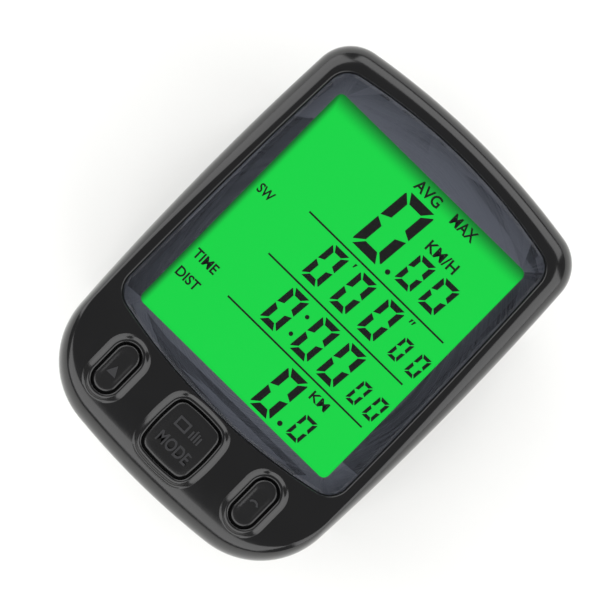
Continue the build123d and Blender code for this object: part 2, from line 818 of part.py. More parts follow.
def release_lever():
    half_width = lever_width / 2
    front = lever_pivot_y + lever_nose
    back = lever_pivot_y - lever_reach
    lever = block((-half_width, half_width), (back, front), (lever_bottom, lever_top))
    pad_z = (lever_bottom, lever_top + lever_pad_rise)
    lever += block((-half_width, half_width), (back, back + lever_pad_length), pad_z)
    lever = fillet(lever.edges().filter_by(Axis.X).group_by(Axis.Y)[0], lever_pad_rise / 2)
    tooth_tip = plate_top + lever_tooth_rise
    tooth_front = lever_tooth_y + lever_tooth_length / 2
    tooth_back = lever_tooth_y - lever_tooth_length / 2
    tooth = Polygon((tooth_back, lever_bottom), (tooth_back, tooth_tip), (lever_tooth_y, tooth_tip),
                    (tooth_front, lever_top), (tooth_front, lever_bottom), align=None)
    upright = Plane(origin=(-lever_tooth_width / 2, 0, 0), x_dir=(0, 1, 0), z_dir=(1, 0, 0))
    lever += extrude(upright * tooth, lever_tooth_width, dir=(1, 0, 0))
    for index in range(lever_grips):
        y = back + lever_pad_length * (index + 1) / (lever_grips + 1)
        lever += rod_along_x(lever_grip_radius, y, pad_z[1], 1 - half_width, half_width - 1)
    pin_reach = half_width + lever_pin_length
    return lever + rod_along_x(lever_pin_radius, lever_pivot_y, pivot_z, -pin_reach, pin_reach)


def lever_spring():
    """A bowed leaf: its ends stand on the saddle's shelf and its middle carries the lever."""
    rise = spring_seat_depth - part_gap / 2
    low = spring_seat_z
    outer = ThreePointArc((spring_y - spring_half_length, low), (spring_y, low + rise),
                          (spring_y + spring_half_length, low))
    inner_half_length = spring_half_length - spring_strip
    inner = ThreePointArc((spring_y + inner_half_length, low), (spring_y, low + rise - spring_strip),
                          (spring_y - inner_half_length, low))
    outline = Wire([outer, Line(outer @ 1, inner @ 0), inner, Line(inner @ 1, outer @ 0)])
    upright = Plane(origin=(-spring_width / 2, 0, 0), x_dir=(0, 1, 0), z_dir=(1, 0, 0))
    return extrude(upright * Face(outline), spring_width, dir=(1, 0, 0))


# --- Nodes ------------------------------------------------------------------------------------
nodes = {
    "front_case": front_case,
    "rear_case": rear_case,
    "case_seal": case_seal,
    "case_screws": case_screws,
    "window_lens": window_lens,
    "window_mask": window_mask,
    "lcd_panel": lcd_panel,
    "lcd_frame": lcd_frame,
    "zebra_strips": zebra_strips,
    "backlight_guide": backlight_guide,
    "diffuser_sheet": diffuser_sheet,
    "backlight_leds": backlight_leds,
    "main_board": main_board,
    "driver_chip": driver_chip,
    "quartz_crystal": quartz_crystal,
    "board_components": board_components,
    "dome_switches": dome_switches,
    "battery": battery,
    "battery_contact_positive": battery_contact_positive,
    "battery_contact_negative": battery_contact_negative,
    "battery_cover": battery_cover,
    "cover_seal": cover_seal,
    "head_contacts": head_contacts,
    "mode_key": lambda: key(mode_key_outline),
    "left_key": lambda: key(key_outlines()[1]),
    "right_key": lambda: key(key_outlines()[2]),
    "mode_key_boot": lambda: key_boot(key_middles()["mode"]),
    "left_key_boot": lambda: key_boot(key_middles()["left"]),
    "right_key_boot": lambda: key_boot(key_middles()["right"]),
    "bracket_base": bracket_base,
    "slide_rails": slide_rails,
    "end_stops": end_stops,
    "bracket_pad": bracket_pad,
    "bracket_contacts": bracket_contacts,
    "release_lever": release_lever,
    "lever_spring": lever_spring,
}

for name, make in nodes.items():
    export_step(make(), f"parts/{name}.step")
    print(name)
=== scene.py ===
"""Cycling computer: finished skins, finishes, studio light and camera over the CAD frame.

Lengths are in millimetres in the part's own frame and become metres only when a mesh is placed.
+X is the display's right, +Y its top, +Z out of it.
"""

import json
import logging
import math
from dataclasses import dataclass
from enum import Enum
from typing import Callable, Optional, Sequence

import bmesh
import bpy
from mathutils import Matrix, Vector

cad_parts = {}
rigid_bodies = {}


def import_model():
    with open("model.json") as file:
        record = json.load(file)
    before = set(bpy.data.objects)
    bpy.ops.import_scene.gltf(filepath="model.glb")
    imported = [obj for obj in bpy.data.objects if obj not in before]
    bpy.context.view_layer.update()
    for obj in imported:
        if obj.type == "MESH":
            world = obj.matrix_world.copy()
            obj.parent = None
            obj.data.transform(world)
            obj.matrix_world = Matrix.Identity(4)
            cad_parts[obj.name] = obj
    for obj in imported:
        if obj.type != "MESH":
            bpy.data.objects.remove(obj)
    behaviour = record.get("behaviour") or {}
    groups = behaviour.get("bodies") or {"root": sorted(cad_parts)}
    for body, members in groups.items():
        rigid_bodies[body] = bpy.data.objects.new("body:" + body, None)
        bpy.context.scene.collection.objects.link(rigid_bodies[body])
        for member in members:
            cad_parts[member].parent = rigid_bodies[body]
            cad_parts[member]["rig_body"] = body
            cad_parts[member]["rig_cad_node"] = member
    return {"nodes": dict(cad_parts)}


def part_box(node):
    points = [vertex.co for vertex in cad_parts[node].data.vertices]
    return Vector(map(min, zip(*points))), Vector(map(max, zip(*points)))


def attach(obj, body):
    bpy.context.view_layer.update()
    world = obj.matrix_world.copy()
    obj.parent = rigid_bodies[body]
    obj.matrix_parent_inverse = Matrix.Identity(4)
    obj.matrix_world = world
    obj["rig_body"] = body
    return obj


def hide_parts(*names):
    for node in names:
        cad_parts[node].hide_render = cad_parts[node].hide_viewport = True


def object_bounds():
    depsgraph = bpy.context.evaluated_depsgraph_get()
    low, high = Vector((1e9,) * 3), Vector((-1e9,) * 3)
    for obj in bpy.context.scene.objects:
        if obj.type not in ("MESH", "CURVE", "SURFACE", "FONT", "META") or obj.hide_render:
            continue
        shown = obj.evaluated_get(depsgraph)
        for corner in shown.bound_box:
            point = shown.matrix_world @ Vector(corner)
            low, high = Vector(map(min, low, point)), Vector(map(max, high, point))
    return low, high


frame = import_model()
CAD_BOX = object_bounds()
LOG = logging.getLogger("cycling_computer")
MM = 0.001
PARTING_TO_TOP = 8.4           # from the parting line to the level part of the case's top

Point = tuple[float, float]
Ring = list[Vector]
Height = Callable[[float, float], float]


# --- Frame and selection ----------------------------------------------------------------------
def span(node: str) -> tuple[Vector, Vector]:
    """A CAD node's lowest and highest corners.

    Args:
        node: Name of the node.

    Returns:
        Both corners in millimetres.
    """
    low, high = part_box(node)
    return low / MM, high / MM


def deselect() -> None:
    """Clears the selection, which a fresh frame leaves full."""
    bpy.ops.object.select_all(action="DESELECT")


def pick(piece: bpy.types.Object) -> None:
    """Makes one object the only selected and active one."""
    deselect()
    piece.select_set(True)
    bpy.context.view_layer.objects.active = piece


def join(name: str, parts: Sequence[bpy.types.Object]) -> bpy.types.Object:
    """Joins meshes into one piece.

    Args:
        name: Name of the joined piece.
        parts: The meshes; the first one keeps its place.

    Returns:
        The joined piece.
    """
    deselect()
    for part in parts:
        part.select_set(True)
    bpy.context.view_layer.objects.active = parts[0]
    if len(parts) > 1:
        bpy.ops.object.join()
    joined = bpy.context.object
    joined.name = joined.data.name = name
    return joined


def smooth(piece: bpy.types.Object, angle: float = 32.0) -> None:
    """Shades a piece smooth, apart from its edges sharper than an angle in degrees."""
    pick(piece)
    bpy.ops.object.shade_smooth_by_angle(angle=math.radians(angle))


# --- Finishes ---------------------------------------------------------------------------------
def linear(code: str) -> tuple[float, float, float, float]:
    """Turns an sRGB hex colour to linear RGBA.

    Args:
        code: Six hex digits, such as "1A2B3C".

    Returns:
        Red, green, blue and an alpha of one.
    """
    channels = []
    for start in (0, 2, 4):
        value = int(code[start:start + 2], 16) / 255
        channels.append(value / 12.92 if value <= 0.04045 else ((value + 0.055) / 1.055) ** 2.4)
    return (*channels, 1.0)


def add_node(material: bpy.types.Material, kind: str, settings: Optional[dict] = None,
             **links: bpy.types.NodeSocket) -> bpy.types.Node:
    """Adds a shader node.

    Args:
        material: Material that gets the node.
        kind: Blender's name of the node type.
        settings: Socket values by socket name, or properties by attribute name.
        links: Sockets to link in, by socket name with _ for a space.

    Returns:
        The new node.
    """
    node = material.node_tree.nodes.new(kind)
    for key, value in (settings or {}).items():
        if key in node.inputs:
            node.inputs[key].default_value = value
        else:
            setattr(node, key, value)
    for key, socket in links.items():
        material.node_tree.links.new(socket, node.inputs[key.replace("_", " ")])
    return node


def blank(name: str) -> tuple[bpy.types.Material, bpy.types.Node]:
    """Starts a material.

    Args:
        name: Name of the material.

    Returns:
        The material and its output node.
    """
    material = bpy.data.materials.new(name)
    material.use_nodes = True
    material.node_tree.nodes.clear()
    return material, add_node(material, "ShaderNodeOutputMaterial")


@dataclass(frozen=True)
class Finish:
    """What a surface is made of and how it was made."""

    name: str
    colour: str
    roughness: float
    ior: float = 1.5
    metallic: float = 0.0
    grain: float = 0.4           # millimetres from bump to bump
    relief: float = 0.0          # height of a bump, in millimetres
    streak: float = 1.0          # how much longer the grain is along Y than across it
    patchiness: float = 0.0      # how far the roughness wanders, as a share of itself
    patch: float = 6.0           # millimetres from patch to patch

    def material(self) -> bpy.types.Material:
        """Builds the shader.

        Returns:
            A material with one Principled node on Object coordinates.
        """
        material, output = blank(self.name)
        shader = add_node(material, "ShaderNodeBsdfPrincipled", {
            "Base Color": linear(self.colour), "Roughness": self.roughness, "IOR": self.ior,
            "Metallic": self.metallic})
        place = add_node(material, "ShaderNodeTexCoord").outputs["Object"]
        if self.relief:
            stretched = add_node(material, "ShaderNodeMapping",
                                 {"Scale": (1.0, 1.0 / self.streak, 1.0)}, Vector=place)
            grain = add_node(material, "ShaderNodeTexNoise",
                             {"Scale": 1 / (self.grain * MM), "Detail": 2.0},
                             Vector=stretched.outputs["Vector"])
            bump = add_node(material, "ShaderNodeBump", {"Distance": self.relief * MM},
                            Height=grain.outputs["Fac"])
            material.node_tree.links.new(bump.outputs["Normal"], shader.inputs["Normal"])
        if self.patchiness:
            patches = add_node(material, "ShaderNodeTexNoise",
                               {"Scale": 1 / (self.patch * MM), "Detail": 3.0}, Vector=place)
            spread = self.roughness * self.patchiness
            wander = add_node(material, "ShaderNodeMapRange", {
                "From Min": 0.3, "From Max": 0.7, "To Min": self.roughness - spread,
                "To Max": self.roughness + spread}, Value=patches.outputs["Fac"])
            material.node_tree.links.new(wander.outputs["Result"], shader.inputs["Roughness"])
        material.node_tree.links.new(shader.outputs["BSDF"], output.inputs["Surface"])
        return material


@dataclass(frozen=True)
class ClearPlastic(Finish):
    """A clear moulding: what lies under it shows, with a gloss on top."""

    cover: float = 0.06          # how much of its own colour shows

    def material(self) -> bpy.types.Material:
        """Builds the shader.

        Returns:
            A material that mixes a glossy Principled node with Transparent.
        """
        material, output = blank(self.name)
        shader = add_node(material, "ShaderNodeBsdfPrincipled", {
            "Base Color": linear(self.colour), "Roughness": self.roughness, "IOR": self.ior})
        clear = add_node(material, "ShaderNodeBsdfTransparent")
        mix = add_node(material, "ShaderNodeMixShader", {"Fac": self.cover})
        links = material.node_tree.links
        links.new(clear.outputs["BSDF"], mix.inputs[1])
        links.new(shader.outputs["BSDF"], mix.inputs[2])
        links.new(mix.outputs["Shader"], output.inputs["Surface"])
        return material


@dataclass(frozen=True)
class LitDisplay(Finish):
    """A backlit liquid crystal field with a painted shadow of the frame that stands above two of its edges.
    """

    glow: float = 1.0
    # Colour and widths of the painted shadow that the frame casts on the left and top edges.
    painted_shade_colour: str = "067A2C"
    left: float = -16.7
    top: float = 23.1
    painted_side_shade: float = 1.1      # width of the painted shadow along the left edge, in millimetres
    painted_top_shade: float = 2.6

    def material(self) -> bpy.types.Material:
        """Builds the shader.

        Returns:
            A material whose glow is darkened towards the left and top edges by a painted shadow of the frame.
        """
        material, output = blank(self.name)
        place = add_node(material, "ShaderNodeTexCoord").outputs["Object"]
        axes = add_node(material, "ShaderNodeSeparateXYZ", Vector=place).outputs
        # Painted shadow of the frame: the green darkens towards the left and top edges.
        across = add_node(material, "ShaderNodeMapRange", {
            "From Min": self.left * MM, "From Max": (self.left + self.painted_side_shade) * MM,
            "To Min": 0.0, "To Max": 1.0, "interpolation_type": "SMOOTHSTEP"}, Value=axes["X"])
        down = add_node(material, "ShaderNodeMapRange", {
            "From Min": (self.top - self.painted_top_shade) * MM, "From Max": (self.top + 0.5) * MM,
            "To Min": 1.0, "To Max": 0.0, "interpolation_type": "SMOOTHSTEP"}, Value=axes["Y"])
        lit = add_node(material, "ShaderNodeMath", {"operation": "MINIMUM"})
        links = material.node_tree.links
        links.new(across.outputs["Result"], lit.inputs[0])
        links.new(down.outputs["Result"], lit.inputs[1])
        blend = add_node(material, "ShaderNodeMix", {"data_type": "RGBA"})
        tones = [socket for socket in blend.inputs if socket.type == "RGBA"]
        tones[0].default_value = linear(self.painted_shade_colour)
        tones[1].default_value = linear(self.colour)
        links.new(lit.outputs["Value"], blend.inputs["Factor"])
        shown = next(socket for socket in blend.outputs if socket.type == "RGBA")
        shader = add_node(material, "ShaderNodeBsdfPrincipled", {
            "Base Color": linear("020A05"), "Roughness": self.roughness, "IOR": self.ior,
            "Emission Strength": self.glow})
        links.new(shown, shader.inputs["Emission Color"])
        links.new(shader.outputs["BSDF"], output.inputs["Surface"])
        return material


class Look(Enum):
    """Every finish on the object."""

    # Polished mould, high gloss: near black with sharp, slightly wavy reflections.
    CASE = Finish("moulded_abs_gloss_black", "0B0B0C", 0.16, 1.53, grain=1.6, relief=0.0016,
                  patchiness=0.25)
    # Spark-eroded mould: black with a fine even sheen and no sharp reflection.
    CASE_SATIN = Finish("moulded_abs_satin_black", "111213", 0.42, 1.53, grain=0.25, relief=0.012)
    # Keys from a finer mould than the case: dark, softly glossy.
    KEY = Finish("moulded_abs_key_black", "0C0C0D", 0.24, 1.53, grain=0.8, relief=0.0015)
    # Raised signs, worn a little lighter than the key they stand on.
    SIGN = Finish("moulded_abs_raised_sign", "2A2A2C", 0.34, 1.53, grain=0.5, relief=0.001)
    # Acrylic, polished: only its reflection and its edge show.
    WINDOW = ClearPlastic("moulded_acrylic_clear", "0A0B0C", 0.04, 1.49, cover=0.3)
    # Ink printed behind the window: an even blue grey.
    MASK = Finish("screen_printed_ink_grey", "757A88", 0.5, 1.5, patchiness=0.1)
    # Backlit panel: a flat, saturated green, with a painted shadow of the frame darkening its left and top
    # edges.
    DISPLAY = LitDisplay("backlit_lcd_green_painted_shade", "0CF550", 0.3, 1.5, glow=1.45)
    # Crystal segments that are switched on: nearly black, no gloss of their own.
    SEGMENT = Finish("lcd_segment_dark", "050A06", 0.5, 1.5)
    # Injection-moulded carrier, matt white so that it throws the light back.
    FRAME = Finish("moulded_abs_white", "E9EAE6", 0.45, 1.53, grain=0.5, relief=0.004)
    # Silicone strips with carbon layers, matt.
    ZEBRA = Finish("silicone_carbon_strip", "3A3C40", 0.7, 1.41, grain=0.2, relief=0.006)
    # Frosted acrylic plate.
    GUIDE = Finish("moulded_acrylic_frosted", "DCEBDD", 0.3, 1.49, grain=0.3, relief=0.004)
    # Milky polyester film.
    DIFFUSER = Finish("polyester_film_milky", "F1F3EF", 0.55, 1.57, grain=0.3, relief=0.002)
    # White epoxy package of a small lamp.
    LED = Finish("led_package_white", "EDEBDD", 0.4, 1.5, grain=0.3, relief=0.002)
    # Glass-fibre laminate under green solder mask.
    BOARD = Finish("fr4_solder_mask_green", "0F5A33", 0.35, 1.5, grain=0.5, relief=0.006)
    # Black moulding compound, matt.
    CHIP = Finish("epoxy_moulding_black", "1C1D1E", 0.55, 1.55, grain=0.15, relief=0.006)
    # Drawn steel can, bright.
    CRYSTAL = Finish("drawn_steel_can", "C9CBCC", 0.22, metallic=1.0, grain=0.3, relief=0.002)
    # Ceramic chips.
    COMPONENT = Finish("sintered_ceramic_dark", "2A2724", 0.5, 1.6, grain=0.2, relief=0.005)
    # Stamped spring steel.
    DOME = Finish("stamped_steel_dome", "BFC1C2", 0.25, metallic=1.0, grain=0.5, relief=0.001)
    # Rolled and drawn cell can: brushed, with long fine lines.
    BATTERY = Finish("drawn_steel_cell", "C6C8C9", 0.26, metallic=1.0, grain=0.12, relief=0.003,
                     streak=14.0)
    # Nickel plate on bronze strip: a warm grey shine.
    NICKEL = Finish("nickel_plated_strip", "C8C3B8", 0.28, metallic=1.0, grain=0.4, relief=0.002)
    # Thin gold plate: yellow and bright.
    GOLD = Finish("gold_plated_contact", "E3B860", 0.2, metallic=1.0, grain=0.4, relief=0.001)
    # Nitrile ring: black, matt and slightly greasy.
    SEAL = Finish("moulded_nitrile_rubber", "141516", 0.6, 1.52, grain=0.3, relief=0.006)
    # Silicone: translucent grey to the eye, matt.
    BOOT = Finish("moulded_silicone_grey", "8B9092", 0.5, 1.41, grain=0.4, relief=0.004)
    # Bracket nylon from an eroded mould: dark, dry and finely grained.
    BRACKET = Finish("moulded_nylon_grained", "141517", 0.48, 1.53, grain=0.3, relief=0.02)
    # Bar pad: soft matt rubber.
    PAD = Finish("moulded_rubber_pad", "1A1B1C", 0.75, 1.52, grain=0.35, relief=0.02)
    # Blued leaf.
    SPRING = Finish("rolled_spring_steel", "8F9599", 0.3, metallic=1.0, grain=0.15, relief=0.002,
                    streak=8.0)
    # Zinc-plated screw steel.
    SCREW = Finish("zinc_plated_steel", "B9BDC0", 0.3, metallic=1.0, grain=0.3, relief=0.003)
    # Plain pale studio floor.
    FLOOR = Finish("matt_paper_white", "F7F7F5", 0.9, 1.45)


MADE: dict[Look, bpy.types.Material] = {}


def dress(piece: bpy.types.Object, look: Look) -> bpy.types.Object:
    """Gives a piece its only material.

    Args:
        piece: The piece.
        look: Its finish.

    Returns:
        The same piece.
    """
    if look not in MADE:
        MADE[look] = look.value.material()
    piece.data.materials.clear()
    piece.data.materials.append(MADE[look])
    return piece


# --- Outlines ---------------------------------------------------------------------------------
def heading(angle: float) -> Vector:
    """The unit vector at an angle in radians."""
    return Vector((math.cos(angle), math.sin(angle)))


@dataclass(frozen=True)
class Outline:
    """A closed outline as stations, each with the way that it moves when the outline grows."""

    places: tuple[Vector, ...]
    ways: tuple[Vector, ...]

    def grown(self, margin: float) -> list[Vector]:
        """The stations moved outwards by a margin."""
        return [place + way * margin for place, way in zip(self.places, self.ways)]

    def ring(self, margin: float, height: Height) -> Ring:
        """The grown outline, lifted to a height that may vary from place to place."""
        return [Vector((p.x, p.y, height(p.x, p.y))) for p in self.grown(margin)]

    def moved(self, x: float, y: float) -> "Outline":
        """The same outline elsewhere."""
        return Outline(tuple(place + Vector((x, y)) for place in self.places), self.ways)


def arc_stations(centre: Vector, radius: float, start: float, end: float,
                 count: int) -> list[tuple[Vector, Vector]]:
    """Stations along an arc, without its end.

    Args:
        centre: Centre of the arc.
        radius: Its radius.
        start: Angle of its first station, in radians.
        end: Angle that it runs to, anticlockwise.
        count: Number of stations.

    Returns:
        Pairs of place and outward way.
    """
    end = start + (end - start) % math.tau
    ways = [heading(start + (end - start) * index / count) for index in range(count)]
    return [(centre + way * radius, way) for way in ways]


@dataclass(frozen=True)
class BowedShape:
    """A four-sided shape with bowed sides and round corners."""

    half_width: float
    top: float
    bottom: float
    side_bow: float
    end_bow: float
    widest: float
    top_corner: float
    bottom_corner: float
    fineness: int = 1

    def corner(self, radius: float, top: bool) -> Vector:
        """Centre of the right-hand corner that is tangent to the side and to an end.

        Args:
            radius: The corner's radius.
            top: Whether it is the upper corner.

        Returns:
            The centre.
        """
        side = Vector((self.half_width - self.side_bow, self.widest))
        end = Vector((0, self.top - self.end_bow if top else self.bottom + self.end_bow))
        reach_side, reach_end = self.side_bow - radius, self.end_bow - radius
        across = end - side
        gap = across.length
        along = (gap ** 2 + reach_side ** 2 - reach_end ** 2) / (2 * gap)
        off = math.sqrt(reach_side ** 2 - along ** 2)
        foot = side + across * (along / gap)
        turn = Vector((-across.y, across.x)) / gap
        return max((foot + turn * off, foot - turn * off), key=lambda spot: spot.x)

    def outline(self) -> Outline:
        """The shape's stations, anticlockwise from the lower end of its right side."""
        side = Vector((self.half_width - self.side_bow, self.widest))
        top = Vector((0, self.top - self.end_bow))
        bottom = Vector((0, self.bottom + self.end_bow))
        upper, lower = self.corner(self.top_corner, True), self.corner(self.bottom_corner, False)

        def angle(start: Vector, end: Vector) -> float:
            """The heading from one point to another."""
            return math.atan2(end.y - start.y, end.x - start.x)

        low, high = angle(side, lower), angle(side, upper)
        rise, fall = angle(top, upper), angle(bottom, lower)
        left_side = Vector((-side.x, side.y))
        left_upper, left_lower = Vector((-upper.x, upper.y)), Vector((-lower.x, lower.y))
        fine = self.fineness
        pairs = arc_stations(side, self.side_bow, low, high, 16 * fine)
        pairs += arc_stations(upper, self.top_corner, high, rise, 8 * fine)
        pairs += arc_stations(top, self.end_bow, rise, math.pi - rise, 14 * fine)
        pairs += arc_stations(left_upper, self.top_corner, math.pi - rise, math.pi - high, 8 * fine)
        pairs += arc_stations(left_side, self.side_bow, math.pi - high, math.pi - low, 16 * fine)
        pairs += arc_stations(left_lower, self.bottom_corner, math.pi - low, math.pi - fall, 10 * fine)
        pairs += arc_stations(bottom, self.end_bow, math.pi - fall, fall, 14 * fine)
        pairs += arc_stations(lower, self.bottom_corner, fall, low, 10 * fine)
        return Outline(tuple(place for place, _ in pairs), tuple(way for _, way in pairs))


@dataclass(frozen=True)
class StadiumShape:
    """An upright slot with round ends."""

    width: float
    length: float

    def outline(self) -> Outline:
        """The shape's stations, anticlockwise from its right side."""
        radius, half = self.width / 2, (self.length - self.width) / 2
        sides = [Vector((radius, half * (index / 6 * 2 - 1))) for index in range(6)]
        pairs = [(place, Vector((1, 0))) for place in sides]
        pairs += arc_stations(Vector((0, half)), radius, 0, math.pi, 24)
        pairs += [(-place, Vector((-1, 0))) for place in sides]
        pairs += arc_stations(Vector((0, -half)), radius, math.pi, math.tau, 24)
        return Outline(tuple(place for place, _ in pairs), tuple(way for _, way in pairs))


def between(first: Ring, second: Ring, share: float) -> Ring:
    """The ring a share of the way from one ring to another."""
    return [a.lerp(b, share) for a, b in zip(first, second)]


# --- Meshes -----------------------------------------------------------------------------------
def set_ring(piece: bpy.types.Object, number: int, ring: Ring) -> None:
    """Moves the selected vertices to a ring's stations.

    Args:
        piece: The mesh in edit mode.
        number: The ring's number, kept on its vertices.
        ring: Where the stations go, in millimetres.
    """
    form = bmesh.from_edit_mesh(piece.data)
    station, order = form.verts.layers.int["station"], form.verts.layers.int["ring"]
    for vertex in form.verts:
        if vertex.select:
            vertex.co = ring[vertex[station]] * MM
            vertex[order] = number
    bmesh.update_edit_mesh(piece.data)


def close_end(piece: bpy.types.Object, number: int) -> None:
    """Closes a ring with a face.

    Args:
        piece: The mesh in edit mode.
        number: The ring's number.
    """
    bpy.ops.mesh.select_all(action="DESELECT")
    form = bmesh.from_edit_mesh(piece.data)
    order = form.verts.layers.int["ring"]
    for vertex in form.verts:
        vertex.select = vertex[order] == number
    form.select_flush(True)
    bmesh.update_edit_mesh(piece.data)
    bpy.ops.mesh.edge_face_add()


def skin(name: str, rings: Sequence[Ring], closed: bool = False, ends: bool = False,
         angle: float = 32.0) -> bpy.types.Object:
    """Draws a skin through matched rings, by extruding each one into the next.

    Args:
        name: Name of the piece.
        rings: The rings, in millimetres.
        closed: Whether the last ring runs on into the first one.
        ends: Whether the first and last rings are closed with faces.
        angle: Edges sharper than this many degrees stay sharp.

    Returns:
        The new mesh.
    """
    deselect()
    bpy.ops.mesh.primitive_circle_add(vertices=len(rings[0]), radius=MM)
    piece = bpy.context.object
    piece.name = piece.data.name = name
    bpy.ops.object.mode_set(mode="EDIT")
    bpy.ops.mesh.select_all(action="SELECT")
    form = bmesh.from_edit_mesh(piece.data)
    station = form.verts.layers.int.new("station")
    form.verts.layers.int.new("ring")
    for index, vertex in enumerate(form.verts):
        vertex[station] = index
    set_ring(piece, 0, rings[0])
    for number, ring in enumerate(rings[1:], start=1):
        bpy.ops.mesh.extrude_region()
        set_ring(piece, number, ring)
    if closed:
        bpy.ops.mesh.extrude_region()
        set_ring(piece, len(rings), rings[0])
    if ends:
        close_end(piece, 0)
        close_end(piece, len(rings) - 1)
    bpy.ops.mesh.select_all(action="SELECT")
    bpy.ops.mesh.remove_doubles(threshold=1e-7)
    bpy.ops.mesh.normals_make_consistent(inside=False)
    bpy.ops.object.mode_set(mode="OBJECT")
    smooth(piece, angle)
    return piece


def plate(name: str, corners: Sequence[Point], low: float, high: Height | float) -> bpy.types.Object:
    """A thin flat-sided plate.

    Args:
        name: Name of the piece.
        corners: Its outline.
        low: Height of its underside, or how far below its top that lies where the top varies.
        high: Height of its top, or a function of the place.

    Returns:
        The new mesh.
    """
    if callable(high):
        bottom = [Vector((x, y, high(x, y) - low)) for x, y in corners]
        top = [Vector((x, y, high(x, y))) for x, y in corners]
    else:
        bottom = [Vector((x, y, low)) for x, y in corners]
        top = [Vector((x, y, high)) for x, y in corners]
    return skin(name, [bottom, top], ends=True)


def cut(piece: bpy.types.Object, tools: Sequence[bpy.types.Object]) -> None:
    """Cuts meshes out of a piece and removes them."""
    for tool in tools:
        pick(piece)
        cutter = piece.modifiers.new("cut", "BOOLEAN")
        cutter.operation = "DIFFERENCE"
        cutter.solver = "EXACT"
        cutter.object = tool
        bpy.ops.object.modifier_apply(modifier=cutter.name)
        bpy.data.objects.remove(tool)


def refined(node: str, edge: float, look: Look) -> bpy.types.Object:
    """A merged copy of a CAD node with softened edges, which stands for it.

    Args:
        node: The CAD node.
        edge: Width of the softened edges in millimetres.
        look: The piece's finish.

    Returns:
        The new piece, riding on the node's body.
    """
    source = frame["nodes"][node]
    body = source["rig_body"]
    pick(source)
    bpy.ops.object.duplicate(linked=False)
    piece = bpy.context.object
    piece.name = piece.data.name = f"{node}_finished"
    del piece["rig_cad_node"]
    bpy.ops.object.mode_set(mode="EDIT")
    bpy.ops.mesh.select_all(action="SELECT")
    bpy.ops.mesh.remove_doubles(threshold=2e-6)
    bpy.ops.mesh.dissolve_limited(angle_limit=math.radians(1.0))
    bpy.ops.object.mode_set(mode="OBJECT")
    if edge:
        soften = piece.modifiers.new("soften", "BEVEL")
        soften.width = edge * MM
        soften.segments = 2
        soften.limit_method = "ANGLE"
        soften.angle_limit = math.radians(38)
        soften.use_clamp_overlap = True
        bpy.ops.object.modifier_apply(modifier=soften.name)
    smooth(piece, 30.0)
    dress(piece, look)
    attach(piece, body)
    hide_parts(node)
    LOG.info("%s: copy of the CAD node with %.2f mm edges", piece.name, edge)
    return piece


def bare(node: str, look: Look) -> None:
    """Dresses a CAD node as it is."""
    dress(frame["nodes"][node], look)
    LOG.info("%s: CAD node in %s", node, look.value.name)


def finish_piece(piece: bpy.types.Object, look: Look, body: str, slot: str, *nodes: str) -> None:
    """Dresses a new piece, puts it on its body and lets it stand for CAD nodes."""
    dress(piece, look)
    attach(piece, body)
    if nodes:
        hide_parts(*nodes)
    LOG.info("%s: new piece on %s", piece.name, body)


# --- The head's case --------------------------------------------------------------------------
@dataclass
class HeadForm:
    """Sizes that the case, window and keys share."""

    top: float                   # level part of the case's top
    parting: float
    half_width: float
    half_length: float
    roll_start: float = -16.0
    roll_radius: float = 38.0
    rim: float = 3.2             # width of the case's round rim
    wall: float = 1.6
    window_gap: float = 0.15
    side_bow: float = 400.0
    end_bow: float = 105.0
    widest: float = 3.0
    top_corner: float = 5.5
    bottom_corner: float = 11.3
    window_side_border: float = 2.75
    window_top_border: float = 3.2
    window_bottom_border: float = 13.5
    window_side_bow: float = 720.0
    window_end_bow: float = 80.0
    window_widest: float = -11.0
    window_corner: float = 3.0

    def crown(self, x: float, y: float) -> float:
        """Height of the case's top, level at first and then rolling down past the keys."""
        if y >= self.roll_start:
            return self.top
        return self.top - self.roll_radius + math.sqrt(self.roll_radius ** 2 - (y - self.roll_start) ** 2)

    def head(self) -> Outline:
        """The case's outline."""
        return BowedShape(self.half_width, self.half_length, -self.half_length, self.side_bow,
                          self.end_bow, self.widest, self.top_corner, self.bottom_corner,
                          fineness=2).outline()

    def window(self) -> Outline:
        """The window's outline."""
        return BowedShape(self.half_width - self.window_side_border,
                          self.half_length - self.window_top_border,
                          self.window_bottom_border - self.half_length, self.window_side_bow,
                          self.window_end_bow, self.window_widest, self.window_corner,
                          self.window_corner, fineness=2).outline()


class KeyKind(Enum):
    """The three keys: node, outline and place of the middle."""

    MODE = ("mode_key", BowedShape(3.95, 4.2, -4.2, 22, 22, 0, 1.5, 1.5).outline(), (0.0, -23.1))
    LEFT = ("left_key", StadiumShape(3.6, 7.3).outline(), (-12.35, -22.4))
    RIGHT = ("right_key", StadiumShape(3.6, 7.3).outline(), (12.35, -22.4))

    def outline(self) -> Outline:
        """The key's outline in its place."""
        return self.value[1].moved(*self.value[2])


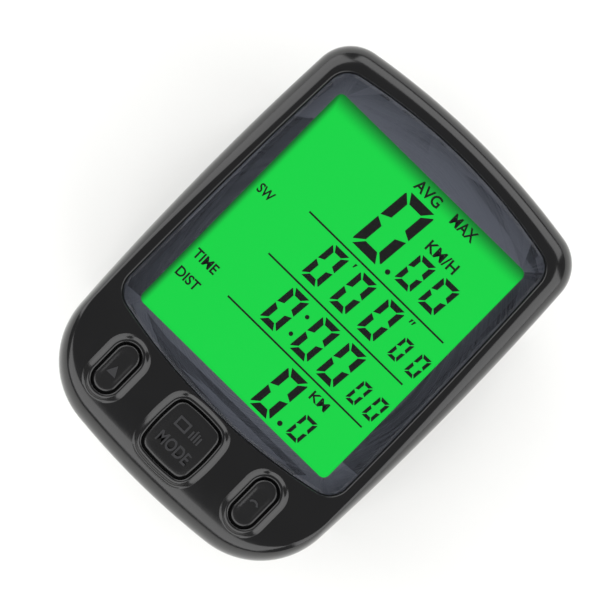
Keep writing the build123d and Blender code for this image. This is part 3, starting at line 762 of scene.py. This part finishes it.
@dataclass
class FrontCase:
    """The glossy upper half of the case with its collars."""

    form: HeadForm
    gap: float = 0.2             # key to collar
    collar: float = 0.85
    rise: float = 0.45
    seat_depth: float = 2.65
    rim_reach: float = 0.93      # most of the way to the window that the rim may take
    rim_sharpness: float = 6.0
    rim_steps: int = 12
    panel_steps: int = 14

    def rim_share(self, outer: Vector, inner: Vector) -> float:
        """How far the round rim reaches from the outside towards the window."""
        across = max((inner - outer).length, 1e-6)
        power = self.rim_sharpness
        return ((1 / self.rim_reach) ** power + (across / self.form.rim) ** power) ** (-1 / power)

    def rings(self) -> list[Ring]:
        """The case's rings, up the outside, over the top, into the window's seat and back inside."""
        form = self.form
        head, window = form.head(), form.window()
        outside, pocket = head.grown(0), window.grown(form.window_gap + 0.2)
        edge = [a.lerp(b, self.rim_share(a, b)) for a, b in zip(outside, pocket)]
        rings = [head.ring(-0.25, lambda x, y: form.parting), head.ring(0, lambda x, y: form.parting + 0.25)]
        for index in range(self.rim_steps + 1):
            turn = math.pi / 2 * index / self.rim_steps
            share, drop = 1 - math.cos(turn), form.rim * (1 - math.sin(turn))
            places = [a.lerp(b, share) for a, b in zip(outside, edge)]
            rings.append([Vector((p.x, p.y, form.crown(p.x, p.y) - drop)) for p in places])
        for index in range(1, self.panel_steps + 1):
            places = [a.lerp(b, index / self.panel_steps) for a, b in zip(edge, pocket)]
            rings.append([Vector((p.x, p.y, form.crown(p.x, p.y))) for p in places])
        seat = form.top - self.seat_depth
        rings.append(window.ring(form.window_gap + 0.06, lambda x, y: form.crown(x, y) - 0.06))
        rings.append(window.ring(form.window_gap, lambda x, y: form.crown(x, y) - 0.2))
        rings.append(window.ring(form.window_gap, lambda x, y: seat))
        rings.append(window.ring(-1.0, lambda x, y: seat))
        rings.append(window.ring(-1.0, lambda x, y: seat - 1))
        inside = head.ring(-form.wall, lambda x, y: min(seat - 1, form.crown(x, y) - 2.2))
        rings.append(between(rings[-1], inside, 0.94))
        rings.append(head.ring(-form.wall, lambda x, y: min(seat - 1.4, form.crown(x, y) - 2.6)))
        rings.append(head.ring(-form.wall, lambda x, y: form.parting))
        return rings

    def collar_bead(self, key: KeyKind) -> bpy.types.Object:
        """The raised round bead about a key, running out into the case's top.

        Args:
            key: The key.

        Returns:
            The bead as a closed ring.
        """
        width, rise = self.collar, self.rise
        profile = [(self.gap, -1.9), (self.gap, rise - 0.24), (self.gap + 0.05, rise - 0.1),
                   (self.gap + 0.15, rise - 0.02), (self.gap + 0.3, rise), (self.gap + 0.48, rise - 0.05),
                   (self.gap + 0.64, rise - 0.16), (self.gap + 0.78, rise - 0.29),
                   (self.gap + width + 0.1, rise - 0.39), (self.gap + width + 0.35, -0.01),
                   (self.gap + width + 0.4, -0.12), (self.gap + width, -1.9)]
        outline = key.outline()
        rings = [outline.ring(grow, lambda x, y, lift=lift: self.form.crown(x, y) + lift)
                 for grow, lift in profile]
        return skin(f"{key.value[0]}_collar", rings, closed=True, angle=40)

    def build(self) -> None:
        """Builds the case and its collars as one piece."""
        case = skin("front_case_moulding", self.rings(), closed=True)
        openings = []
        for key in KeyKind:
            outline = key.outline()
            openings.append(skin("opening", [outline.ring(self.gap + 0.5, lambda x, y: self.form.parting - 1),
                                             outline.ring(self.gap + 0.5, lambda x, y: self.form.top + 2)],
                                 ends=True))
        cut(case, openings)
        smooth(case, 32)
        collars = [self.collar_bead(key) for key in KeyKind]
        piece = join("front_case_moulding", [case, *collars])
        finish_piece(piece, Look.CASE, "head", "case_gloss", "front_case")


@dataclass
class Window:
    """The clear window over its printed border."""

    form: HeadForm
    arch: float = 0.42
    radius: float = 520.0
    bevel: float = 0.4

    def height(self, x: float, drop: float) -> float:
        """Height of the arched face, less a drop."""
        return self.form.top + self.arch - (self.radius - math.sqrt(self.radius ** 2 - x ** 2)) - drop

    def build(self) -> None:
        """Builds the window."""
        outline = self.form.window()
        back = span("window_lens")[0].z
        face = outline.ring(-self.bevel, lambda x, y: self.height(x, 0))
        middle = [Vector((p.x * 0.02, p.y * 0.02, self.height(p.x * 0.02, 0))) for p in face]
        rings = [outline.ring(-0.05, lambda x, y: back),
                 outline.ring(0, lambda x, y: self.height(x, self.bevel) - 0.05),
                 outline.ring(-0.05, lambda x, y: self.height(x, self.bevel - 0.12)), face]
        rings += [[Vector((p.x, p.y, self.height(p.x, 0))) for p in between(face, middle, share)]
                  for share in (0.2, 0.4, 0.6, 0.8, 1.0)]
        lens = skin("window_moulding", rings, ends=True, angle=25)
        finish_piece(lens, Look.WINDOW, "head", "window_clear", "window_lens")


@dataclass
class Key:
    """A key cap with its rounded rim, slightly hollow top and raised sign."""

    form: HeadForm
    kind: KeyKind
    proud: float = 0.3
    rim: float = 0.42
    hollow: float = 0.1

    def face(self, x: float, y: float) -> float:
        """Height of the key's top at a place."""
        return self.form.crown(x, y) + self.proud

    def cap(self) -> bpy.types.Object:
        """The cap with its flange.

        Returns:
            The new mesh.
        """
        node, _, (mid_x, mid_y) = self.kind.value
        outline = self.kind.outline()
        low, _ = span(node)
        flange = low.z + 1.0
        rings = [outline.ring(0.8, lambda x, y: low.z), outline.ring(0.8, lambda x, y: flange),
                 outline.ring(0, lambda x, y: flange),
                 outline.ring(0, lambda x, y: self.face(x, y) - self.rim - 0.4)]
        for index in range(7):
            turn = math.pi / 2 * index / 6
            inset, drop = self.rim * (1 - math.cos(turn)), self.rim * (1 - math.sin(turn))
            rings.append(outline.ring(-inset, lambda x, y, drop=drop: self.face(x, y) - drop))
        edge = outline.grown(-self.rim)
        middle = Vector((mid_x, mid_y))
        for share in (0.12, 0.25, 0.4, 0.6, 0.8, 0.97):
            dip = self.hollow * math.sin(math.pi / 2 * min(share / 0.4, 1.0)) ** 2
            places = [p.lerp(middle, share) for p in edge]
            rings.append([Vector((p.x, p.y, self.face(p.x, p.y) - dip)) for p in places])
        return skin(f"{node}_cap", rings, ends=True, angle=50)

    def sign_height(self, x: float, y: float) -> float:
        """Height of a raised sign's face at a place."""
        return self.face(x, y) - self.hollow + 0.09

    def signs(self) -> list[bpy.types.Object]:
        """The raised signs on this key.

        Returns:
            The sign meshes.
        """
        x, y = self.kind.value[2]
        if self.kind is KeyKind.LEFT:
            corners = [(x - 0.75, y - 1.1), (x + 0.75, y - 1.1), (x, y + 0.35)]
            return [plate("left_key_triangle", corners, 0.2, self.sign_height)]
        if self.kind is KeyKind.RIGHT:
            return [self.arc_sign("right_key_ring", x, y - 0.35, 0.62, 0.28, 20, 160)]
        bars = [plate("mode_key_bar", [(bx, y + 0.75), (bx + 0.24, y + 0.75), (bx + 0.24, top),
                                       (bx, top)], 0.2, self.sign_height)
                for bx, top in ((x + 0.35, y + 1.9), (x + 0.8, y + 2.3), (x + 1.25, y + 2.1),
                                (x + 1.7, y + 1.9))]
        box = [(x - 2.2, y + 0.75), (x - 0.2, y + 0.75), (x - 0.2, y + 2.3), (x - 2.2, y + 2.3)]
        hole = [(x - 1.9, y + 1.05), (x - 0.5, y + 1.05), (x - 0.5, y + 2.0), (x - 1.9, y + 2.0)]
        rings = [[Vector((*corner, self.sign_height(*corner) - depth)) for corner in loop]
                 for loop, depth in ((box, 0.2), (box, 0), (hole, 0), (hole, 0.2))]
        dial = skin("mode_key_dial", rings, closed=True)
        word = lettering("mode_key_word", "MODE", x - 2.6, x + 2.6, y - 2.3, y - 0.5,
                         self.sign_height(x, y - 1.0) - 0.1, 0.1)
        return [*bars, dial, word]

    def arc_sign(self, name: str, x: float, y: float, radius: float, width: float, start: float,
                 end: float) -> bpy.types.Object:
        """A raised stroke along an arc.

        Args:
            name: Name of the mesh.
            x: Centre across.
            y: Centre along.
            radius: Radius of the stroke's middle.
            width: Its width.
            start: Start angle in degrees.
            end: End angle in degrees.

        Returns:
            The new mesh.
        """
        angles = [math.radians(start + (end - start) * index / 10) for index in range(11)]
        outer = [(x + (radius + width / 2) * math.cos(a), y + (radius + width / 2) * math.sin(a))
                 for a in angles]
        inner = [(x + (radius - width / 2) * math.cos(a), y + (radius - width / 2) * math.sin(a))
                 for a in angles]
        return plate(name, outer + inner[::-1], 0.2, self.sign_height)

    def build(self) -> None:
        """Builds the cap and its signs."""
        node = self.kind.value[0]
        finish_piece(self.cap(), Look.KEY, node, "key_black", node)
        signs = join(f"{node}_signs", self.signs())
        finish_piece(signs, Look.SIGN, node, "key_black")


def lettering(name: str, words: str, left: float, right: float, bottom: float, top: float,
              low: float, thickness: float) -> bpy.types.Object:
    """Flat raised letters that fill a box.

    Args:
        name: Name of the mesh.
        words: What it says.
        left: Left side of the box.
        right: Right side.
        bottom: Lower side.
        top: Upper side.
        low: Height of the letters' underside.
        thickness: Their thickness.

    Returns:
        The letters as a mesh at the origin.
    """
    deselect()
    bpy.ops.object.text_add()
    text = bpy.context.object
    text.data.body = words
    text.data.extrude = 0.05
    text.data.offset = 0.022
    text.data.resolution_u = 4
    bpy.ops.object.convert(target="MESH")
    letters = bpy.context.object
    letters.name = letters.data.name = name
    low_corner = Vector((min(v.co[axis] for v in letters.data.vertices) for axis in range(3)))
    high_corner = Vector((max(v.co[axis] for v in letters.data.vertices) for axis in range(3)))
    reach = high_corner - low_corner
    sizes = ((right - left) / reach.x, (top - bottom) / reach.y, thickness / reach.z)
    place = Matrix.Translation(Vector((left, bottom, low)) * MM)
    shape = Matrix.Diagonal((*(size * MM for size in sizes), 1))
    letters.data.transform(place @ shape @ Matrix.Translation(-low_corner))
    bpy.ops.object.mode_set(mode="EDIT")
    bpy.ops.mesh.select_all(action="SELECT")
    bpy.ops.mesh.remove_doubles(threshold=1e-7)
    bpy.ops.object.mode_set(mode="OBJECT")
    return letters


# --- The display ------------------------------------------------------------------------------
@dataclass(frozen=True)
class Digit:
    """A seven-segment nought, upright in its box and then slanted."""

    left: float
    right: float
    bottom: float
    top: float
    stroke: float
    slant: float = 5.5           # degrees

    def strokes(self) -> list[list[Point]]:
        """The outlines of its six lit segments."""
        height = self.top - self.bottom
        lean = math.tan(math.radians(self.slant))
        width = self.right - self.left - height * lean
        thick, slit, nick = self.stroke, self.stroke * 0.13, self.stroke * 0.22
        middle = height / 2
        tip = middle + slit
        roof = [(nick + slit, height), (width - nick - slit, height), (width - thick - slit, height - thick),
                (thick + slit, height - thick)]
        upper = [(0, tip), (thick, tip + thick * 0.5), (thick, height - thick - slit),
                 (nick * 0.4, height - nick - slit), (0, height - nick * 1.6 - slit)]
        shapes = [roof, upper, [(width - x, y) for x, y in upper]]
        shapes += [[(x, height - y) for x, y in shape] for shape in shapes]
        return [[(self.left + x + y * lean, self.bottom + y) for x, y in shape] for shape in shapes]


@dataclass
class Display:
    """The lit field and everything that it shows."""

    mark_thickness: float = 0.03

    @staticmethod
    def digits() -> list[Digit]:
        """Every digit, from the top row down."""
        return [
            Digit(-2.6, 3.4, 10.3, 20.2, 1.32),
            Digit(4.8, 8.1, 10.7, 15.5, 0.72), Digit(9.0, 12.4, 10.7, 15.5, 0.72),
            Digit(-4.2, -0.7, 2.8, 8.6, 0.82), Digit(0.8, 4.3, 2.8, 8.6, 0.82),
            Digit(5.75, 9.3, 2.8, 8.6, 0.82),
            Digit(11.0, 13.0, 3.15, 6.5, 0.46), Digit(14.05, 16.1, 3.15, 6.5, 0.46),
            Digit(-4.05, -0.5, -5.0, 1.1, 0.86), Digit(1.35, 5.1, -5.0, 1.1, 0.86),
            Digit(6.05, 9.8, -5.0, 1.1, 0.86),
            Digit(11.1, 13.1, -4.6, -1.2, 0.46), Digit(14.05, 16.1, -4.6, -1.2, 0.46),
            Digit(2.65, 6.9, -13.65, -6.6, 1.0), Digit(8.8, 11.3, -13.2, -9.5, 0.5),
        ]

    @staticmethod
    def words() -> list[tuple[str, float, float, float, float]]:
        """Generic labels with left, right, bottom and top."""
        return [("AVG", -1.6, 2.6, 20.8, 22.4), ("MAX", 4.9, 8.9, 20.8, 22.4),
                ("KM/H", 5.0, 10.0, 16.2, 17.8), ("SW", -15.7, -13.3, 6.4, 7.8),
                ("TIME", -15.7, -11.9, -5.3, -3.9), ("DIST", -15.7, -12.1, -8.5, -7.1),
                ("KM", 7.8, 10.6, -7.9, -6.6)]

    @staticmethod
    def disc(x: float, y: float, radius: float) -> list[Point]:
        """A round dot's outline."""
        return [(x + radius * math.cos(math.tau * i / 20), y + radius * math.sin(math.tau * i / 20))
                for i in range(20)]

    @staticmethod
    def bar(left: float, right: float, y: float, width: float = 0.25) -> list[Point]:
        """A ruled line's outline."""
        return [(left, y - width / 2), (right, y - width / 2), (right, y + width / 2), (left, y + width / 2)]

    @staticmethod
    def tick(x: float, y: float) -> list[Point]:
        """A minute mark's outline: wide above, pointed below."""
        return [(x - 0.1, y - 0.3), (x + 0.05, y - 0.3), (x + 0.3, y + 0.3), (x - 0.05, y + 0.3)]

    def marks(self, level: float) -> bpy.types.Object:
        """All dark marks as one mesh.

        Args:
            level: Height of the lit field.

        Returns:
            The new mesh.
        """
        shapes = [stroke for digit in self.digits() for stroke in digit.strokes()]
        shapes += [self.disc(3.8, 10.75, 0.36), self.disc(0.5, -0.62, 0.3), self.disc(0.5, -3.6, 0.3),
                   self.disc(7.55, -12.8, 0.36), self.bar(-8.8, 15.3, 9.25), self.bar(-8.8, 15.3, 1.76),
                   self.bar(-8.7, 15.4, -5.8), self.tick(0.2, 8.35), self.tick(10.3, 8.35),
                   self.tick(10.75, 8.35)]
        low, high = level + 0.01, level + 0.01 + self.mark_thickness
        parts = [plate("mark", shape, low, high) for shape in shapes]
        parts += [lettering("label", word, left, right, bottom, top, low, self.mark_thickness)
                  for word, left, right, bottom, top in self.words()]
        return join("display_marks", parts)

    def build(self) -> None:
        """Dresses the glass and lays the marks on it."""
        level = span("lcd_panel")[1].z
        bare("lcd_panel", Look.DISPLAY)
        finish_piece(self.marks(level), Look.SEGMENT, "head", "lcd_green")


# --- What the CAD carries as it is --------------------------------------------------------------
class Inside:
    """The pieces inside the head."""

    looks = {
        "lcd_frame": Look.FRAME, "zebra_strips": Look.ZEBRA, "backlight_guide": Look.GUIDE,
        "diffuser_sheet": Look.DIFFUSER, "backlight_leds": Look.LED, "main_board": Look.BOARD,
        "driver_chip": Look.CHIP, "board_components": Look.COMPONENT, "window_mask": Look.MASK,
        "case_seal": Look.SEAL, "cover_seal": Look.SEAL, "battery_contact_positive": Look.NICKEL,
        "battery_contact_negative": Look.NICKEL, "head_contacts": Look.GOLD,
    }

    def build(self) -> None:
        """Dresses the flat-sided pieces as they are and softens the round ones."""
        for node, look in self.looks.items():
            bare(node, look)
        refined("battery", 0.0, Look.BATTERY)
        refined("quartz_crystal", 0.15, Look.CRYSTAL)
        refined("dome_switches", 0.0, Look.DOME)
        for key in KeyKind:
            refined(f"{key.value[0]}_boot", 0.0, Look.BOOT)


class Underside:
    """The rear case, its cover and screws."""

    def build(self) -> None:
        """Builds the pieces that show from below."""
        refined("rear_case", 0.12, Look.CASE_SATIN)
        refined("battery_cover", 0.12, Look.CASE_SATIN)
        refined("case_screws", 0.12, Look.SCREW)


class Bracket:
    """The handlebar bracket with its pad, contacts and release lever."""

    def build(self) -> None:
        """Builds the bracket's pieces."""
        refined("bracket_base", 0.15, Look.BRACKET)
        refined("slide_rails", 0.12, Look.BRACKET)
        refined("end_stops", 0.12, Look.BRACKET)
        refined("bracket_pad", 0.12, Look.PAD)
        refined("bracket_contacts", 0.04, Look.GOLD)
        refined("release_lever", 0.12, Look.BRACKET)
        refined("lever_spring", 0.0, Look.SPRING)


# --- Studio -----------------------------------------------------------------------------------
@dataclass
class Studio:
    """Pale floor, soft lights and the camera."""

    width: float = 76.8          # what the frame spans
    distance: float = 1400.0
    roll: float = 44.5           # degrees that the head lies turned clockwise in the frame
    shift_right: float = 1.0     # middle of the head from the middle of the frame
    shift_up: float = -1.41
    world_strength: float = 0.3

    def floor(self) -> None:
        """A plain floor under the object."""
        deselect()
        bpy.ops.mesh.primitive_plane_add(size=4, location=(0, 0, CAD_BOX[0].z - 0.0002))
        ground = bpy.context.object
        ground.name = "floor"
        bpy.ops.object.transform_apply(location=True)
        dress(ground, Look.FLOOR)

    def lamp(self, name: str, place: tuple[float, float, float], size: tuple[float, float],
             power: float, aim: tuple[float, float, float] = (0, 0, 25)) -> None:
        """A soft rectangular light.

        Args:
            name: Name of the light.
            place: Where it hangs, in millimetres.
            size: Its width and height.
            power: Its power in watts.
            aim: The point that it faces.
        """
        deselect()
        bpy.ops.object.light_add(type="AREA", location=Vector(place) * MM)
        light = bpy.context.object
        light.name = name
        light.data.shape = "RECTANGLE"
        light.data.size, light.data.size_y = size[0] * MM, size[1] * MM
        light.data.energy = power
        away = Vector(place) - Vector(aim)
        light.rotation_euler = away.to_track_quat("Z", "Y").to_euler()

    def camera(self) -> None:
        """A long lens straight above the display."""
        right, up = heading(math.radians(self.roll)), heading(math.radians(self.roll + 90))
        aim = -(right * self.shift_right + up * self.shift_up)
        level = CAD_BOX[1].z / MM
        deselect()
        bpy.ops.object.camera_add(location=Vector((aim.x, aim.y, level + self.distance)) * MM,
                                  rotation=(0, 0, math.radians(self.roll)))
        camera = bpy.context.object
        camera.data.sensor_width = 36
        camera.data.lens = 36 * self.distance / self.width
        camera.data.clip_start, camera.data.clip_end = 0.01, 20
        bpy.context.scene.camera = camera

    def build(self) -> None:
        """Sets up the floor, the light and the camera."""
        self.floor()
        self.lamp("left_bank", (-520, 60, 360), (760, 760), 4.0)
        self.lamp("right_bank", (520, -60, 360), (760, 760), 4.0)
        self.lamp("top_bank", (0, 620, 360), (760, 520), 2.8)
        self.lamp("bottom_bank", (0, -620, 360), (760, 520), 2.8)
        world = bpy.data.worlds.new("studio")
        world.use_nodes = True
        world.node_tree.nodes["Background"].inputs["Color"].default_value = linear("FFFFFF")
        world.node_tree.nodes["Background"].inputs["Strength"].default_value = self.world_strength
        bpy.context.scene.world = world
        bpy.context.scene.view_settings.view_transform = "Standard"
        self.camera()


def main() -> None:
    """Builds every sub-assembly in order."""
    logging.basicConfig(level=logging.INFO, format="%(message)s")
    low, high = span("front_case")
    form = HeadForm(top=low.z + PARTING_TO_TOP, parting=low.z, half_width=(high.x - low.x) / 2,
                    half_length=(high.y - low.y) / 2)
    FrontCase(form).build()
    Window(form).build()
    for kind in KeyKind:
        Key(form, kind).build()
    Display().build()
    Inside().build()
    Underside().build()
    Bracket().build()
    Studio().build()


if __name__ == "__main__":
    main()
